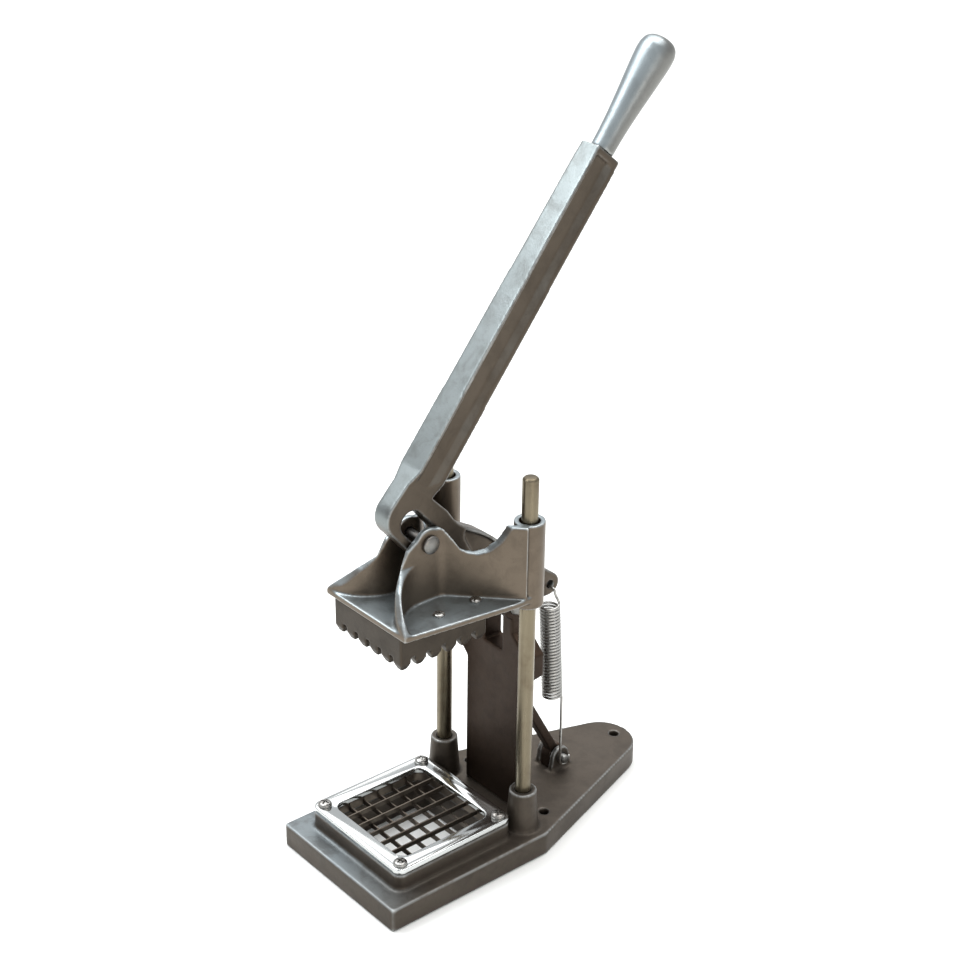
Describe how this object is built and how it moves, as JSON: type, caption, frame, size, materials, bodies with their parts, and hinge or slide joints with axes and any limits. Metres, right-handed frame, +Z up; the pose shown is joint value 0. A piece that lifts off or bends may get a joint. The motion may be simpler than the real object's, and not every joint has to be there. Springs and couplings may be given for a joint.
{
  "type": "french fry cutter",
  "caption": "Bench-mounted lever press for cutting potatoes into sticks: toothed pusher on two guide rods over a square blade grid, with a spring-returned hand lever.",
  "frame": {"origin": "on the base's flat underside, midway between the two guide rods", "axes": "+Z up along the rods, -Y to the blade frame and the user, +Y to the tail, +X to the side where the return spring hangs"},
  "size_m": [0.1424, 0.3179, 0.6228],
  "materials": {
    "cast_base": "weathered sand-cast aluminium, grey-brown, lit edges paler",
    "cast_carriage": "rubbed cast aluminium, pale on its edges",
    "cast_lever": "cast aluminium, front face rubbed pale, sides brownish",
    "cast_upright": "dark brown-grey casting",
    "polished_frame": "mirror-polished plate",
    "polished_grip": "satin-polished aluminium",
    "rod_steel": "ground steel rod, satin",
    "blade_steel": "dark tool-steel blade",
    "ring_metal": "dull dark cast ring",
    "screw_steel": "bright plated screw",
    "pin_steel": "plain steel pin",
    "dark_steel": "blackened steel",
    "bush_bronze": "sintered bronze bush",
    "spring_steel": "zinc-plated spring wire"
  },
  "bodies": {
    "stand": {"base": "cast_base", "blade_frame": "polished_frame", "frame_screws": "screw_steel", "blade_ring": "ring_metal", "blades_lower": "blade_steel", "blades_upper": "blade_steel", "guide_rod_left": "rod_steel", "guide_rod_right": "rod_steel", "socket_screws": "dark_steel", "upright": "cast_upright", "upright_bolts": "dark_steel", "pivot_pin": "pin_steel", "pivot_pin_clip": "dark_steel", "lug_pin": "pin_steel", "lug_pin_clip": "dark_steel", "return_spring": "spring_steel"},
    "lever": {"lever": "cast_lever", "pivot_bush": "bush_bronze", "grip": "polished_grip", "grip_stud": "pin_steel"},
    "carriage": {"carriage": "cast_carriage", "rod_bushes": "bush_bronze", "pusher_block": "cast_carriage", "pusher_screws": "screw_steel", "carriage_pin": "pin_steel", "carriage_pin_clip": "dark_steel"}
  },
  "joints": [
    {"name": "lever_hinge", "type": "hinge", "parent": "stand", "child": "lever", "pos_m": [0, 0.013, 0.205], "axis": [1, 0, 0], "range_deg": [0, 97.5], "stiffness_Nm_per_rad": 2.5, "springref_deg": -31.51, "deforming": ["return_spring"]},
    {"name": "carriage_slide", "type": "slide", "parent": "stand", "child": "carriage", "axis": [0, 0, -1], "range_m": [0, 0.1685]}
  ],
  "couplings": [
    {"joint": "carriage_slide", "follows": "lever_hinge", "m_per_rad": 0.09901}
  ]
}
